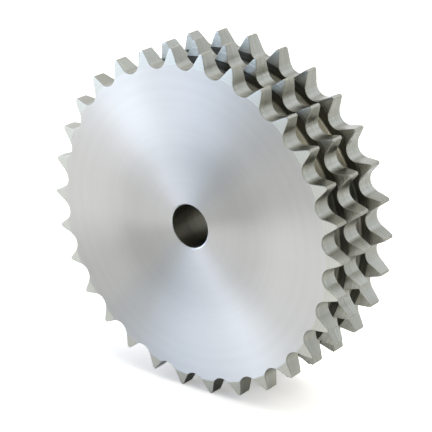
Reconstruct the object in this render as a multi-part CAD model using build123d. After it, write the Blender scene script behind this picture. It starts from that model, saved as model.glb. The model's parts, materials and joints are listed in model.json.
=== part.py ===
from build123d import *
import math
import os

# Triple-row chain sprocket of the plain plate-wheel kind: one steel disc, turned all over, with three toothed
# rims and two grooves between them, a plain pilot bore, and tooth gaps hobbed straight across the three rims.
# Frame: the wheel's axis lies along Y, the front face looks along -Y and +Z is up. The origin is the centre of
# the bore, halfway between the two faces. A tooth gap is lowest, so the wheel stands on the two teeth beside it.

# The roller chain that runs on the wheel, in mm
chain_pitch = 19.05
roller_diameter = 12.07
row_pitch = 19.46

# The wheel as a whole
teeth = 30
rows = 3
rim_width = 10.8
tip_rise = 4.125            # from the pitch circle out to the tooth tips
bore_diameter = 24.0
bore_chamfer = 0.65

# The tooth gap: a seat for the roller that runs on into two bulging flanks
seat_clearance = 0.22
seating_angle = 125.0
flank_radius = 80.0

# The bevel on both sides of every tooth, which leads the chain's plates past the rim
bevel_height = 8.2          # down from the tooth tip
bevel_depth = 1.55          # in from the side of the rim

# The grooves between the rims, which clear the chain's inner plates
groove_below_root = 3.6

# Circles of the wheel
pitch_radius = chain_pitch / (2 * math.sin(math.pi / teeth))
root_radius = pitch_radius - roller_diameter / 2
tip_radius = pitch_radius + tip_rise
groove_radius = root_radius - groove_below_root
bore_radius = bore_diameter / 2
seat_radius = roller_diameter / 2 + seat_clearance
wheel_width = (rows - 1) * row_pitch + rim_width


def turned_section():
    """Half the cross-section of the turned disc, with the radius along X and the wheel's axis along Y."""
    half_rim = rim_width / 2
    half_land = half_rim - bevel_depth
    bevel_start = tip_radius - bevel_height
    rim = make_face(
        Polyline(
            (bore_radius, -half_rim),
            (bevel_start, -half_rim),
            (tip_radius, -half_land),
            (tip_radius, half_land),
            (bevel_start, half_rim),
            (bore_radius, half_rim),
            close=True,
        )
    )
    core = Pos((bore_radius + groove_radius) / 2, 0) * Rectangle(groove_radius - bore_radius, wheel_width)
    section = core + [Pos(0, place.position.Y) * rim for place in GridLocations(0, row_pitch, 1, rows)]
    bore_corners = section.vertices().group_by(Axis.X)[0]
    return chamfer(bore_corners, bore_chamfer)


def tooth_gap():
    """Outline of one tooth gap, centred on the sketch's +Y side and open past the tips."""
    seat_centre = (0, root_radius + seat_radius)
    seat = CenterArc(seat_centre, seat_radius, 270 - seating_angle / 2, seating_angle)
    flank_turn = math.degrees(2 * (tip_radius - root_radius) / flank_radius)
    right_flank = JernArc(seat @ 1, seat % 1, flank_radius, -flank_turn)
    left_flank = mirror(right_flank, Plane.YZ)
    mouth = Line(right_flank @ 1, left_flank @ 1)
    return make_face([left_flank, seat, right_flank, mouth])


def sprocket():
    """The turned disc with its tooth gaps cut through all the rims at once."""
    disc = revolve(turned_section(), Axis.Y)
    gap = tooth_gap()
    lowest = 180
    cutters = [
        extrude(Plane.XZ * (place * gap), amount=wheel_width, both=True)
        for place in PolarLocations(0, teeth, start_angle=lowest)
    ]
    return disc - cutters


wheel = sprocket()
wheel.label = "sprocket"
wheel.color = Color(0.72, 0.73, 0.74)

os.makedirs("parts", exist_ok=True)
export_step(wheel, "parts/sprocket.step")
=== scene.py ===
import bmesh
import bpy
import json
import math
from mathutils import Matrix, Vector


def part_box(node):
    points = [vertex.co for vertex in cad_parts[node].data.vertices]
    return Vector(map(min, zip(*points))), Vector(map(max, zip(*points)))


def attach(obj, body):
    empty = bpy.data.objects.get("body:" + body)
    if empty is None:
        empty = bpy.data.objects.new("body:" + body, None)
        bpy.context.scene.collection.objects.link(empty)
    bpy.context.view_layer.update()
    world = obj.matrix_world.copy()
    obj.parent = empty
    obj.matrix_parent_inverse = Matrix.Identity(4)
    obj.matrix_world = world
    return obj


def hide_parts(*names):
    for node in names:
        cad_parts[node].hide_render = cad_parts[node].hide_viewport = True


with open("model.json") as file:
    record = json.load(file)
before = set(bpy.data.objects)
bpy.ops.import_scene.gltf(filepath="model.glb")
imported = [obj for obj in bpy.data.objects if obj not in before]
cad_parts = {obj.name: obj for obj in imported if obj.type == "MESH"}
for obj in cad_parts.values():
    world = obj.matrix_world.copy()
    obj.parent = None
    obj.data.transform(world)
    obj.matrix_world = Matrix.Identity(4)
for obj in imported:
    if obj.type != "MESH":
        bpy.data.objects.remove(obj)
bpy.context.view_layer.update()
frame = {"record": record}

# The sprocket
# One piece of bare carbon steel: a plate wheel turned all over, with three rims for a triple roller chain,
# two grooves between them that clear the chain's inner plates, and thirty tooth gaps hobbed straight across
# the rims. The axle lies along Y, and the wheel stands on two teeth, with a tooth gap lowest.
MM = 0.001
chain_pitch = 19.05 * MM
roller_radius = 12.07 / 2 * MM
row_pitch = 19.46 * MM
teeth = 30
rim_width = 10.8 * MM
bevel_height = 8.2 * MM             # of the bevel on a tooth's side, down from its tip
bevel_depth = 1.55 * MM
seat_clearance = 0.22 * MM
half_seating = math.radians(62.5)   # that the roller seat takes in, on either side of its middle
flank_radius = 80 * MM
groove_below_root = 3.6 * MM
groove_corner = 1.0 * MM            # left in a groove's corners by the nose of the turning tool
bore_chamfer = 0.65 * MM
edge_break = 0.22 * MM              # what the file takes off the edges of the teeth
least_lean = 0.3                    # sideways, of the filed edges that follow a gap's outline
least_corner = math.radians(35)     # between two faces, where the file goes over their edge
least_crease = math.radians(30)     # between two faces, where their edge stays sharp to the eye

# Circles of the wheel
low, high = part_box("sprocket")
tip_radius = high.x
half_width = high.y
bore_radius = frame["record"]["mounts"][0]["dims"]["r_mm"] * MM
half_pitch = math.pi / teeth
root_radius = chain_pitch / (2 * math.sin(half_pitch)) - roller_radius
seat_radius = roller_radius + seat_clearance
groove_radius = root_radius - groove_below_root
bevel_start = tip_radius - bevel_height
half_rim = rim_width / 2

# How finely the curves are drawn
low_seat_steps = 7
high_seat_steps = 4
flank_steps = 6
half_tooth_columns = 2
corner_steps = 5
edge_steps = 2
face_rings = 6
nearly = 0.005 * MM                 # points closer than this are one point

# The wheel's finishes, in the order of its material slots
FACE, TOOTH_BEVEL, TOOTH_GAP, TOOTH_TIP, GROOVE_BEVEL, GROOVE_WALL, GROOVE_FLOOR = range(7)
BORE, BORE_MOUTH, BROKEN_EDGE, TIP_CORNER = range(7, 11)


def radius_of(point):
    """How far a point is from the axle's centreline."""
    return math.hypot(point.x, point.z)


def corner_angle(side_a, side_b, facing):
    """The angle between two sides of a triangle, from the side that faces it."""
    share = (side_a**2 + side_b**2 - facing**2) / (2 * side_a * side_b)
    return math.acos(max(-1, min(1, share)))


def carry_round(bm, point, centre, turn, steps):
    """Draws an arc by carrying a point round a centre. Returns the edges drawn and the point at their end."""
    older = set(bm.edges)
    drawn = bmesh.ops.spin(
        bm,
        geom=[point],
        cent=centre,
        axis=(0, 1, 0),
        dvec=(0, 0, 0),
        angle=turn,
        steps=steps,
        use_duplicate=False,
    )
    end = next(item for item in drawn["geom_last"] if isinstance(item, bmesh.types.BMVert))
    return [edge for edge in bm.edges if edge not in older], end


def half_gap_outline(bm, middle):
    """Draws half a tooth gap in a rim's middle plane. Returns its seat and flank, and half a tooth's tip."""
    aim = Vector((math.sin(half_seating), 0, -math.cos(half_seating)))
    seat_centre = Vector((0, middle, root_radius + seat_radius))
    flank_centre = seat_centre + aim * (seat_radius + flank_radius)
    reach = radius_of(flank_centre)
    seat_end = radius_of(seat_centre + aim * seat_radius)
    low_turn = corner_angle(seat_centre.z, seat_radius, bevel_start)
    flank_turn = corner_angle(reach, flank_radius, tip_radius) - corner_angle(reach, flank_radius, seat_end)
    point = bm.verts.new((0, middle, root_radius))
    low_seat, point = carry_round(bm, point, seat_centre, -low_turn, low_seat_steps)
    high_seat, point = carry_round(bm, point, seat_centre, low_turn - half_seating, high_seat_steps)
    flank, point = carry_round(bm, point, flank_centre, flank_turn, flank_steps)
    tip_turn = half_pitch - math.atan2(point.co.x, point.co.z)
    tip, point = carry_round(bm, point, (0, middle, 0), tip_turn, half_tooth_columns)
    return low_seat + high_seat + flank, tip


def draw_on(bm, edges, finish, place):
    """Extrudes a run of edges and puts its points in place. Returns the new run, and the edges beside it."""
    made = bmesh.ops.extrude_edge_only(bm, edges=edges)["geom"]
    faces = [item for item in made if isinstance(item, bmesh.types.BMFace)]
    run = [item for item in made if isinstance(item, bmesh.types.BMEdge)]
    for vert in {vert for edge in run for vert in edge.verts}:
        vert.co = place(vert.co)
    for face in faces:
        face.material_index = finish
    along = {*edges, *run}
    beside = dict.fromkeys(edge for face in faces for edge in face.edges if edge not in along)
    return run, list(beside)


def half_rim_of_gap(bm, middle, side, bevel_finish):
    """Makes a rim's side, from a gap's middle to the next tooth's middle. Returns its edge at the root."""

    def to_side(co):
        lean = bevel_depth * max(0, radius_of(co) - bevel_start) / bevel_height
        return Vector((co.x, middle + side * (half_rim - lean), co.z))

    def towards_tooth(share):
        def place(co):
            angle = math.atan2(co.x, co.z)
            turn = (half_pitch - angle) * share
            return Matrix.Rotation(turn, 3, "Y") @ co
        return place

    def under_bevel(edges):
        limit = bevel_start + nearly
        return [edge for edge in edges if all(radius_of(vert.co) < limit for vert in edge.verts)]

    gap, tip = half_gap_outline(bm, middle)
    draw_on(bm, tip, TOOTH_TIP, to_side)
    wall = draw_on(bm, gap, TOOTH_GAP, to_side)[0]
    root = under_bevel(wall)
    flank = [edge for edge in wall if edge not in root]
    for left in range(half_tooth_columns, 0, -1):
        flank, beside = draw_on(bm, flank, bevel_finish, towards_tooth(1 / left))
        root += under_bevel(beside)
    return root


def ring(radius, along):
    """Where a point goes that keeps its angle round the axle, at another radius and place along it."""
    return lambda co: Vector((co.x, 0, co.z)).normalized() * radius + Vector((0, along, 0))


def face_and_bore(side):
    """The places that one face is drawn through, from under the teeth to the middle of the bore."""
    mouth = bore_radius + bore_chamfer
    inward = (groove_radius - mouth) / face_rings
    for count in range(face_rings + 1):
        yield FACE, ring(groove_radius - count * inward, side * half_width)
    yield BORE_MOUTH, ring(bore_radius, side * (half_width - bore_chamfer))
    yield BORE, ring(bore_radius, 0)


def half_groove(middle, side):
    """The places that half a groove is drawn through, from a rim's side to the middle of its floor."""
    wall = middle + side * half_rim
    for count in range(corner_steps + 1):
        turn = math.radians(90) * count / corner_steps
        rise = groove_corner * (1 - math.sin(turn))
        reach = groove_corner * (1 - math.cos(turn))
        finish = GROOVE_FLOOR if count else GROOVE_WALL
        yield finish, ring(groove_radius + rise, wall + side * reach)
    yield GROOVE_FLOOR, ring(groove_radius, middle + side * row_pitch / 2)


wheel = bmesh.new()
for row in (-1, 0, 1):
    for side in (-1, 1):
        outer = row == side
        middle = row * row_pitch
        run = half_rim_of_gap(wheel, middle, side, TOOTH_BEVEL if outer else GROOVE_BEVEL)
        for finish, place in face_and_bore(side) if outer else half_groove(middle, side):
            run = draw_on(wheel, run, finish, place)[0]
bmesh.ops.mirror(wheel, geom=wheel.verts[:] + wheel.edges[:] + wheel.faces[:], axis="X", merge_dist=nearly)
bmesh.ops.spin(
    wheel,
    geom=wheel.verts[:] + wheel.edges[:] + wheel.faces[:],
    cent=(0, 0, 0),
    axis=(0, 1, 0),
    dvec=(0, 0, 0),
    angle=2 * half_pitch * (teeth - 1),
    steps=teeth - 1,
    use_duplicate=True,
)
bmesh.ops.remove_doubles(wheel, verts=wheel.verts, dist=nearly)
bmesh.ops.recalc_face_normals(wheel, faces=wheel.faces)

# The file's touch on the edges of the teeth
tooth_edges = [
    edge
    for edge in wheel.edges
    if edge.calc_face_angle(0) > least_corner and radius_of(edge.verts[0].co) > groove_radius + groove_corner
]
filed = bmesh.ops.bevel(
    wheel,
    geom=tooth_edges,
    affect="EDGES",
    offset=edge_break,
    segments=edge_steps,
    profile=0.5,
    material=-1,
)
wheel.normal_update()
for face in filed["faces"]:
    face.material_index = BROKEN_EDGE if abs(face.normal.y) > least_lean else TIP_CORNER
for face in wheel.faces:
    face.smooth = True
for edge in wheel.edges:
    finishes = {face.material_index for face in edge.link_faces}
    turned_corner = len(finishes) > 1 or edge.calc_face_angle(0) > least_crease
    edge.smooth = bool(finishes & {BROKEN_EDGE, TIP_CORNER}) or not turned_corner

shape = bpy.data.meshes.new("plate_wheel")
wheel.to_mesh(shape)
wheel.free()
sprocket = bpy.data.objects.new("plate_wheel", shape)
bpy.context.collection.objects.link(sprocket)
even = sprocket.modifiers.new("flat_faces_stay_flat", "WEIGHTED_NORMAL")
even.keep_sharp = True
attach(sprocket, "root")
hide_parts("sprocket")


def colour_mix(nodes, blend="MIX"):
    """A Mix node for colours. Returns its factor, its two colours and its result."""
    mix = nodes.new("ShaderNodeMix")
    mix.data_type = "RGBA"
    mix.blend_type = blend
    factor, first, second = [socket for socket in mix.inputs if socket.enabled]
    return factor, first, second, next(socket for socket in mix.outputs if socket.enabled)


def worked_steel_group():
    """Steel as a cutting tool leaves it: its colour, its roughness, and the height of the fine lines in it.

    Across is measured over the lines. They lie about Spacing apart, and a Band of them shares one tone.
    Unevenness is the share by which the roughness changes with the tone."""
    noise_low, noise_high = 0.3, 0.7
    line_share, band_share, cloud_share = 0.25, 0.4, 0.35
    clouds_per_metre = 45
    most_change = 0.75
    group = bpy.data.node_groups.new("worked_steel", "ShaderNodeTree")
    wanted = {
        "INPUT": {
            "Place": "Vector",
            "Across": "Float",
            "Spacing": "Float",
            "Band": "Float",
            "Dark": "Color",
            "Light": "Color",
            "Roughness": "Float",
            "Unevenness": "Float",
        },
        "OUTPUT": {"Color": "Color", "Roughness": "Float", "Height": "Float"},
    }
    for way, sockets in wanted.items():
        for name, kind in sockets.items():
            group.interface.new_socket(name, in_out=way, socket_type="NodeSocket" + kind)
    nodes, links = group.nodes, group.links
    given = nodes.new("NodeGroupInput").outputs
    result = nodes.new("NodeGroupOutput").inputs

    def divided(top, bottom):
        share = nodes.new("ShaderNodeMath")
        share.operation = "DIVIDE"
        links.new(top, share.inputs[0])
        links.new(bottom, share.inputs[1])
        return share.outputs[0]

    def uneven(where, scale, detail):
        noise = nodes.new("ShaderNodeTexNoise")
        noise.noise_dimensions = "3D" if where.type == "VECTOR" else "1D"
        noise.inputs["Scale"].default_value = scale
        noise.inputs["Detail"].default_value = detail
        links.new(where, noise.inputs["Vector" if where.type == "VECTOR" else "W"])
        return noise.outputs["Fac"]

    def stretched(value, low, high):
        spread = nodes.new("ShaderNodeMapRange")
        spread.inputs["From Min"].default_value = noise_low
        spread.inputs["From Max"].default_value = noise_high
        spread.inputs["To Min"].default_value = low
        spread.inputs["To Max"].default_value = high
        links.new(value, spread.inputs["Value"])
        return spread.outputs["Result"]

    line_number = divided(given["Across"], given["Spacing"])
    lines = uneven(line_number, scale=1, detail=2)
    bands = uneven(divided(line_number, given["Band"]), scale=1, detail=3)
    clouds = uneven(given["Place"], scale=clouds_per_metre, detail=4)
    tone = None
    for part, weight in ((lines, line_share), (bands, band_share), (clouds, cloud_share)):
        added = nodes.new("ShaderNodeMath")
        added.operation = "ADD"
        added.inputs[1].default_value = 0
        links.new(stretched(part, 0, weight), added.inputs[0])
        if tone:
            links.new(tone, added.inputs[1])
        tone = added.outputs[0]
    factor, first, second, colour = colour_mix(nodes)
    links.new(tone, factor)
    links.new(given["Dark"], first)
    links.new(given["Light"], second)
    change = nodes.new("ShaderNodeMath")
    change.operation = "MULTIPLY_ADD"
    links.new(stretched(tone, most_change, -most_change), change.inputs[0])
    links.new(given["Unevenness"], change.inputs[1])
    change.inputs[2].default_value = 1
    gloss = nodes.new("ShaderNodeMath")
    gloss.operation = "MULTIPLY"
    links.new(given["Roughness"], gloss.inputs[0])
    links.new(change.outputs[0], gloss.inputs[1])
    links.new(colour, result["Color"])
    links.new(gloss.outputs[0], result["Roughness"])
    links.new(lines, result["Height"])
    return group


worked_steel = worked_steel_group()


def steel(name, dark, light, roughness, spread, spacing, band, depth, turned=True, unevenness=0.2):
    """A steel finish. Its lines run round the axle where it was turned.

    Where it was hobbed or filed, they follow a gap's outline, and lie side by side along the axle. Spread is
    how far the lines draw the reflections out, from 0 to 1."""
    material = bpy.data.materials.new(name)
    material.use_nodes = True
    nodes, links = material.node_tree.nodes, material.node_tree.links
    shader = nodes["Principled BSDF"]
    shader.inputs["Metallic"].default_value = 1
    shader.inputs["Anisotropic"].default_value = spread
    surface = nodes.new("ShaderNodeGroup")
    surface.node_tree = worked_steel
    surface.inputs["Spacing"].default_value = spacing
    surface.inputs["Band"].default_value = band
    surface.inputs["Dark"].default_value = (*dark, 1)
    surface.inputs["Light"].default_value = (*light, 1)
    surface.inputs["Roughness"].default_value = roughness
    surface.inputs["Unevenness"].default_value = unevenness
    place = nodes.new("ShaderNodeTexCoord").outputs["Object"]
    links.new(place, surface.inputs["Place"])
    along = nodes.new("ShaderNodeSeparateXYZ")
    links.new(place, along.inputs[0])
    axle = nodes.new("ShaderNodeCombineXYZ")
    axle.inputs["Y"].default_value = 1
    across, tangent = along.outputs["Y"], axle.outputs[0]
    if turned:
        outward = nodes.new("ShaderNodeVectorMath")
        outward.operation = "MULTIPLY"
        outward.inputs[1].default_value = (1, 0, 1)
        links.new(place, outward.inputs[0])
        radius = nodes.new("ShaderNodeVectorMath")
        radius.operation = "LENGTH"
        links.new(outward.outputs["Vector"], radius.inputs[0])
        unit = nodes.new("ShaderNodeVectorMath")
        unit.operation = "NORMALIZE"
        links.new(outward.outputs["Vector"], unit.inputs[0])
        sideways = nodes.new("ShaderNodeVectorMath")
        sideways.operation = "ADD"
        links.new(unit.outputs["Vector"], sideways.inputs[0])
        links.new(tangent, sideways.inputs[1])
        both = nodes.new("ShaderNodeMath")
        both.operation = "ADD"
        links.new(radius.outputs["Value"], both.inputs[0])
        links.new(across, both.inputs[1])
        across, tangent = both.outputs[0], sideways.outputs["Vector"]
    links.new(across, surface.inputs["Across"])
    links.new(tangent, shader.inputs["Tangent"])
    links.new(surface.outputs["Color"], shader.inputs["Base Color"])
    links.new(surface.outputs["Roughness"], shader.inputs["Roughness"])
    bump = nodes.new("ShaderNodeBump")
    bump.inputs["Strength"].default_value = 1
    bump.inputs["Distance"].default_value = depth
    links.new(surface.outputs["Height"], bump.inputs["Height"])
    links.new(bump.outputs["Normal"], shader.inputs["Normal"])
    return material


face_roughness = 0.53
finishes = {
    FACE: steel(
        "turned_face", dark=(0.748, 0.714, 0.67), light=(0.77, 0.736, 0.69), roughness=face_roughness,
        spread=0.9, spacing=0.35 * MM, band=10, depth=0.001 * MM, unevenness=0.04,
    ),
    TOOTH_BEVEL: steel(
        "turned_bevel", dark=(0.56, 0.54, 0.47), light=(0.65, 0.626, 0.545), roughness=0.38,
        spread=0.1, spacing=0.3 * MM, band=6, depth=0.004 * MM,
    ),
    TOOTH_GAP: steel(
        "hobbed_gap", dark=(0.33, 0.318, 0.268), light=(0.424, 0.41, 0.347), roughness=0.32,
        spread=0.35, spacing=0.6 * MM, band=4, depth=0.007 * MM, turned=False,
    ),
    TOOTH_TIP: steel(
        "turned_tip", dark=(0.32, 0.306, 0.257), light=(0.436, 0.416, 0.35), roughness=0.38,
        spread=0.4, spacing=0.7 * MM, band=3, depth=0.008 * MM,
    ),
    # The inner bevels are darker than the outer ones: painted shade between the rims.
    GROOVE_BEVEL: steel(
        "inner_bevel_painted_shade", dark=(0.385, 0.37, 0.315), light=(0.495, 0.475, 0.405), roughness=0.32,
        spread=0.1, spacing=0.6 * MM, band=4, depth=0.008 * MM,
    ),
    # The groove walls are nearly black: painted shade in the grooves, on the same steel as the face.
    GROOVE_WALL: steel(
        "groove_wall_painted_shade", dark=(0.07, 0.066, 0.052), light=(0.146, 0.138, 0.11), roughness=0.45,
        spread=1.0, spacing=0.5 * MM, band=4, depth=0.006 * MM,
    ),
    # The groove floors are darker than the face: painted shade at the bottom of the grooves.
    GROOVE_FLOOR: steel(
        "groove_floor_painted_shade", dark=(0.195, 0.184, 0.146), light=(0.319, 0.302, 0.24), roughness=0.36,
        spread=1.0, spacing=0.4 * MM, band=3, depth=0.006 * MM,
    ),
    # The bore is darker than the face: painted shade inside the hole.
    BORE: steel(
        "drilled_bore_painted_shade", dark=(0.125, 0.117, 0.088), light=(0.199, 0.185, 0.138), roughness=0.35,
        spread=0.8, spacing=0.5 * MM, band=8, depth=0.01 * MM,
    ),
    BORE_MOUTH: steel(
        "bore_mouth", dark=(0.74, 0.73, 0.70), light=(0.80, 0.79, 0.76), roughness=0.50,
        spread=0.0, spacing=0.3 * MM, band=4, depth=0.002 * MM,
    ),
    BROKEN_EDGE: steel(
        "filed_edge", dark=(0.30, 0.288, 0.24), light=(0.40, 0.385, 0.32), roughness=0.45,
        spread=0.0, spacing=0.5 * MM, band=4, depth=0.005 * MM, turned=False,
    ),
    TIP_CORNER: steel(
        "tip_corner", dark=(0.36, 0.346, 0.29), light=(0.46, 0.442, 0.37), roughness=0.70,
        spread=0.0, spacing=0.5 * MM, band=4, depth=0.005 * MM, turned=False,
    ),
}
for finish in sorted(finishes):
    shape.materials.append(finishes[finish])

# The facing cut slows down towards the axle, and leaves the steel duller round the bore
slow_radius = 14 * MM
fast_radius = 60 * MM
slow_roughness = 0.8
face_nodes, face_links = finishes[FACE].node_tree.nodes, finishes[FACE].node_tree.links
from_axle = next(node for node in face_nodes if node.type == "VECT_MATH" and node.operation == "LENGTH")
slowing = face_nodes.new("ShaderNodeMapRange")
slowing.inputs["From Min"].default_value = slow_radius
slowing.inputs["From Max"].default_value = fast_radius
slowing.inputs["To Min"].default_value = slow_roughness
slowing.inputs["To Max"].default_value = face_roughness
face_links.new(from_axle.outputs["Value"], slowing.inputs["Value"])
face_links.new(slowing.outputs["Result"], face_nodes["Group"].inputs["Roughness"])

# The floor
# A plain white sheet that the wheel stands on. It isn't part of the wheel. It glows a little to the camera,
# so that it is white round the shadow. The steel sees hardly any of the glow, only the sheet as it is lit.
floor_half = 4.0
white_paint = (0.8, 0.8, 0.8, 1)
white_to_camera = (0.98, 0.92, 0.86, 1)     # a little warm, as the shadow is
glow_to_camera = 0.39
glow_in_steel = 0.02
floor_mesh = bpy.data.meshes.new("floor")
sheet = bmesh.new()
bmesh.ops.create_grid(sheet, x_segments=1, y_segments=1, size=floor_half)
bmesh.ops.translate(sheet, verts=sheet.verts, vec=(0, 0, low.z))
sheet.to_mesh(floor_mesh)
sheet.free()
floor = bpy.data.objects.new("floor", floor_mesh)
bpy.context.collection.objects.link(floor)

white = bpy.data.materials.new("white_floor")
white.use_nodes = True
floor_nodes, floor_links = white.node_tree.nodes, white.node_tree.links
floor_nodes.remove(floor_nodes["Principled BSDF"])
rays = floor_nodes.new("ShaderNodeLightPath")
paint = floor_nodes.new("ShaderNodeBsdfDiffuse")
seen_straight, first, second, paint_colour = colour_mix(floor_nodes)
first.default_value = white_paint
second.default_value = white_to_camera
floor_links.new(rays.outputs["Is Camera Ray"], seen_straight)
floor_links.new(paint_colour, paint.inputs["Color"])
glow = floor_nodes.new("ShaderNodeEmission")
glow.inputs["Color"].default_value = (1, 1, 1, 1)
seen_in_steel = floor_nodes.new("ShaderNodeMath")
seen_in_steel.operation = "ADD"
steel_share = floor_nodes.new("ShaderNodeMath")
steel_share.operation = "MULTIPLY"
steel_share.inputs[1].default_value = glow_in_steel
glow_share = floor_nodes.new("ShaderNodeMath")
glow_share.operation = "MULTIPLY_ADD"
glow_share.inputs[1].default_value = glow_to_camera
lit_paint = floor_nodes.new("ShaderNodeAddShader")
floor_links.new(rays.outputs["Is Glossy Ray"], seen_in_steel.inputs[0])
floor_links.new(rays.outputs["Is Transmission Ray"], seen_in_steel.inputs[1])
floor_links.new(seen_in_steel.outputs[0], steel_share.inputs[0])
floor_links.new(rays.outputs["Is Camera Ray"], glow_share.inputs[0])
floor_links.new(steel_share.outputs[0], glow_share.inputs[2])
floor_links.new(glow_share.outputs[0], glow.inputs["Strength"])
floor_links.new(paint.outputs[0], lit_paint.inputs[0])
floor_links.new(glow.outputs[0], lit_paint.inputs[1])
floor_links.new(lit_paint.outputs[0], floor_nodes["Material Output"].inputs["Surface"])
floor_mesh.materials.append(white)

# The studio
# Soft panels of light round the wheel: cool ones on the left and behind, a strong and slightly warm one high
# on the right, and a white one above. Elsewhere it is dark, which gives the turned face its dark and bright
# sectors. The camera sees a white backdrop, and the steel sees a small share of that white, as an even light.
dark_room = (0.010, 0.029, 0.031, 1)
backdrop_in_steel = 0.06
fade_from = 0.15                            # of a panel's reach, where its light begins to fade
studio = bpy.data.worlds.new("studio")
bpy.context.scene.world = studio
studio.use_nodes = True
sky, sky_links = studio.node_tree.nodes, studio.node_tree.links
looking = sky.new("ShaderNodeTexCoord")
around = sky.new("ShaderNodeVectorMath")
around.operation = "NORMALIZE"
sky_links.new(looking.outputs["Generated"], around.inputs[0])
darkness = sky.new("ShaderNodeRGB")
darkness.outputs[0].default_value = dark_room
colour = darkness.outputs[0]


def towards(side, up):
    """The direction so many degrees round from the front, to the right, and so many above the floor."""
    side, up = math.radians(side), math.radians(up)
    return Vector((math.sin(side) * math.cos(up), -math.cos(side) * math.cos(up), math.sin(up)))


def add_panel(colour, side, up, reach, light):
    """Adds a soft round panel to the studio's light. It fades out at reach, in degrees from its middle."""
    facing = sky.new("ShaderNodeVectorMath")
    facing.operation = "DOT_PRODUCT"
    facing.inputs[1].default_value = towards(side, up)
    sky_links.new(around.outputs[0], facing.inputs[0])
    mask = sky.new("ShaderNodeMapRange")
    mask.interpolation_type = "SMOOTHSTEP"
    mask.inputs["From Min"].default_value = math.cos(math.radians(reach))
    mask.inputs["From Max"].default_value = math.cos(math.radians(fade_from * reach))
    sky_links.new(facing.outputs["Value"], mask.inputs["Value"])
    factor, first, second, lit = colour_mix(sky, "ADD")
    second.default_value = (*light, 1)
    sky_links.new(mask.outputs["Result"], factor)
    sky_links.new(colour, first)
    return lit


# Each panel's side, height and reach in degrees, and its light
for side, up, reach, light in (
    (-79.5, 3.7, 25, (5.02, 6.26, 8.31)),
    (-34.7, 16.7, 26, (1.70, 2.17, 3.00)),
    (-109.3, 10.3, 75, (1.43, 1.45, 1.57)),
    (165.2, 78.1, 42, (1.98, 2.05, 2.06)),
    (86.2, 42.0, 28, (4.05, 3.98, 3.68)),
    (164.0, 0.1, 43, (1.79, 1.91, 2.11)),
    (159.8, 42.2, 24, (0.73, 0.80, 0.98)),
):
    colour = add_panel(colour, side, up, reach, light)
backdrop_seen, first, second, backdrop = colour_mix(sky)
second.default_value = (1, 1, 1, 1)
sky_rays = sky.new("ShaderNodeLightPath")
bent_rays = sky.new("ShaderNodeMath")
bent_rays.operation = "ADD"
sky_links.new(sky_rays.outputs["Is Glossy Ray"], bent_rays.inputs[0])
sky_links.new(sky_rays.outputs["Is Transmission Ray"], bent_rays.inputs[1])
backdrop_share = sky.new("ShaderNodeMath")
backdrop_share.operation = "MULTIPLY_ADD"
backdrop_share.inputs[1].default_value = backdrop_in_steel
sky_links.new(bent_rays.outputs[0], backdrop_share.inputs[0])
sky_links.new(sky_rays.outputs["Is Camera Ray"], backdrop_share.inputs[2])
sky_links.new(backdrop_share.outputs[0], backdrop_seen)
sky_links.new(colour, first)
sky_links.new(backdrop, sky["Background"].inputs["Color"])

# The camera
# It stands to the right of the front face and above the axle, turned a little about its own line of sight.
camera_side = 38.413
camera_up = 20.912
camera_roll = math.radians(-1.599)
camera_distance = 1.0297
lens = bpy.data.cameras.new("camera")
lens.sensor_width = 36
lens.lens = 160.965
lens.shift_x = -0.005625
lens.shift_y = -0.00831
camera = bpy.data.objects.new("camera", lens)
back = towards(camera_side, camera_up)
level = back.to_track_quat("Z", "Y").to_matrix()
camera.location = back * camera_distance
camera.rotation_mode = "QUATERNION"
camera.rotation_quaternion = (Matrix.Rotation(camera_roll, 3, back) @ level).to_quaternion()
bpy.context.collection.objects.link(camera)
bpy.context.scene.camera = camera
bpy.context.scene.view_settings.view_transform = "Standard"
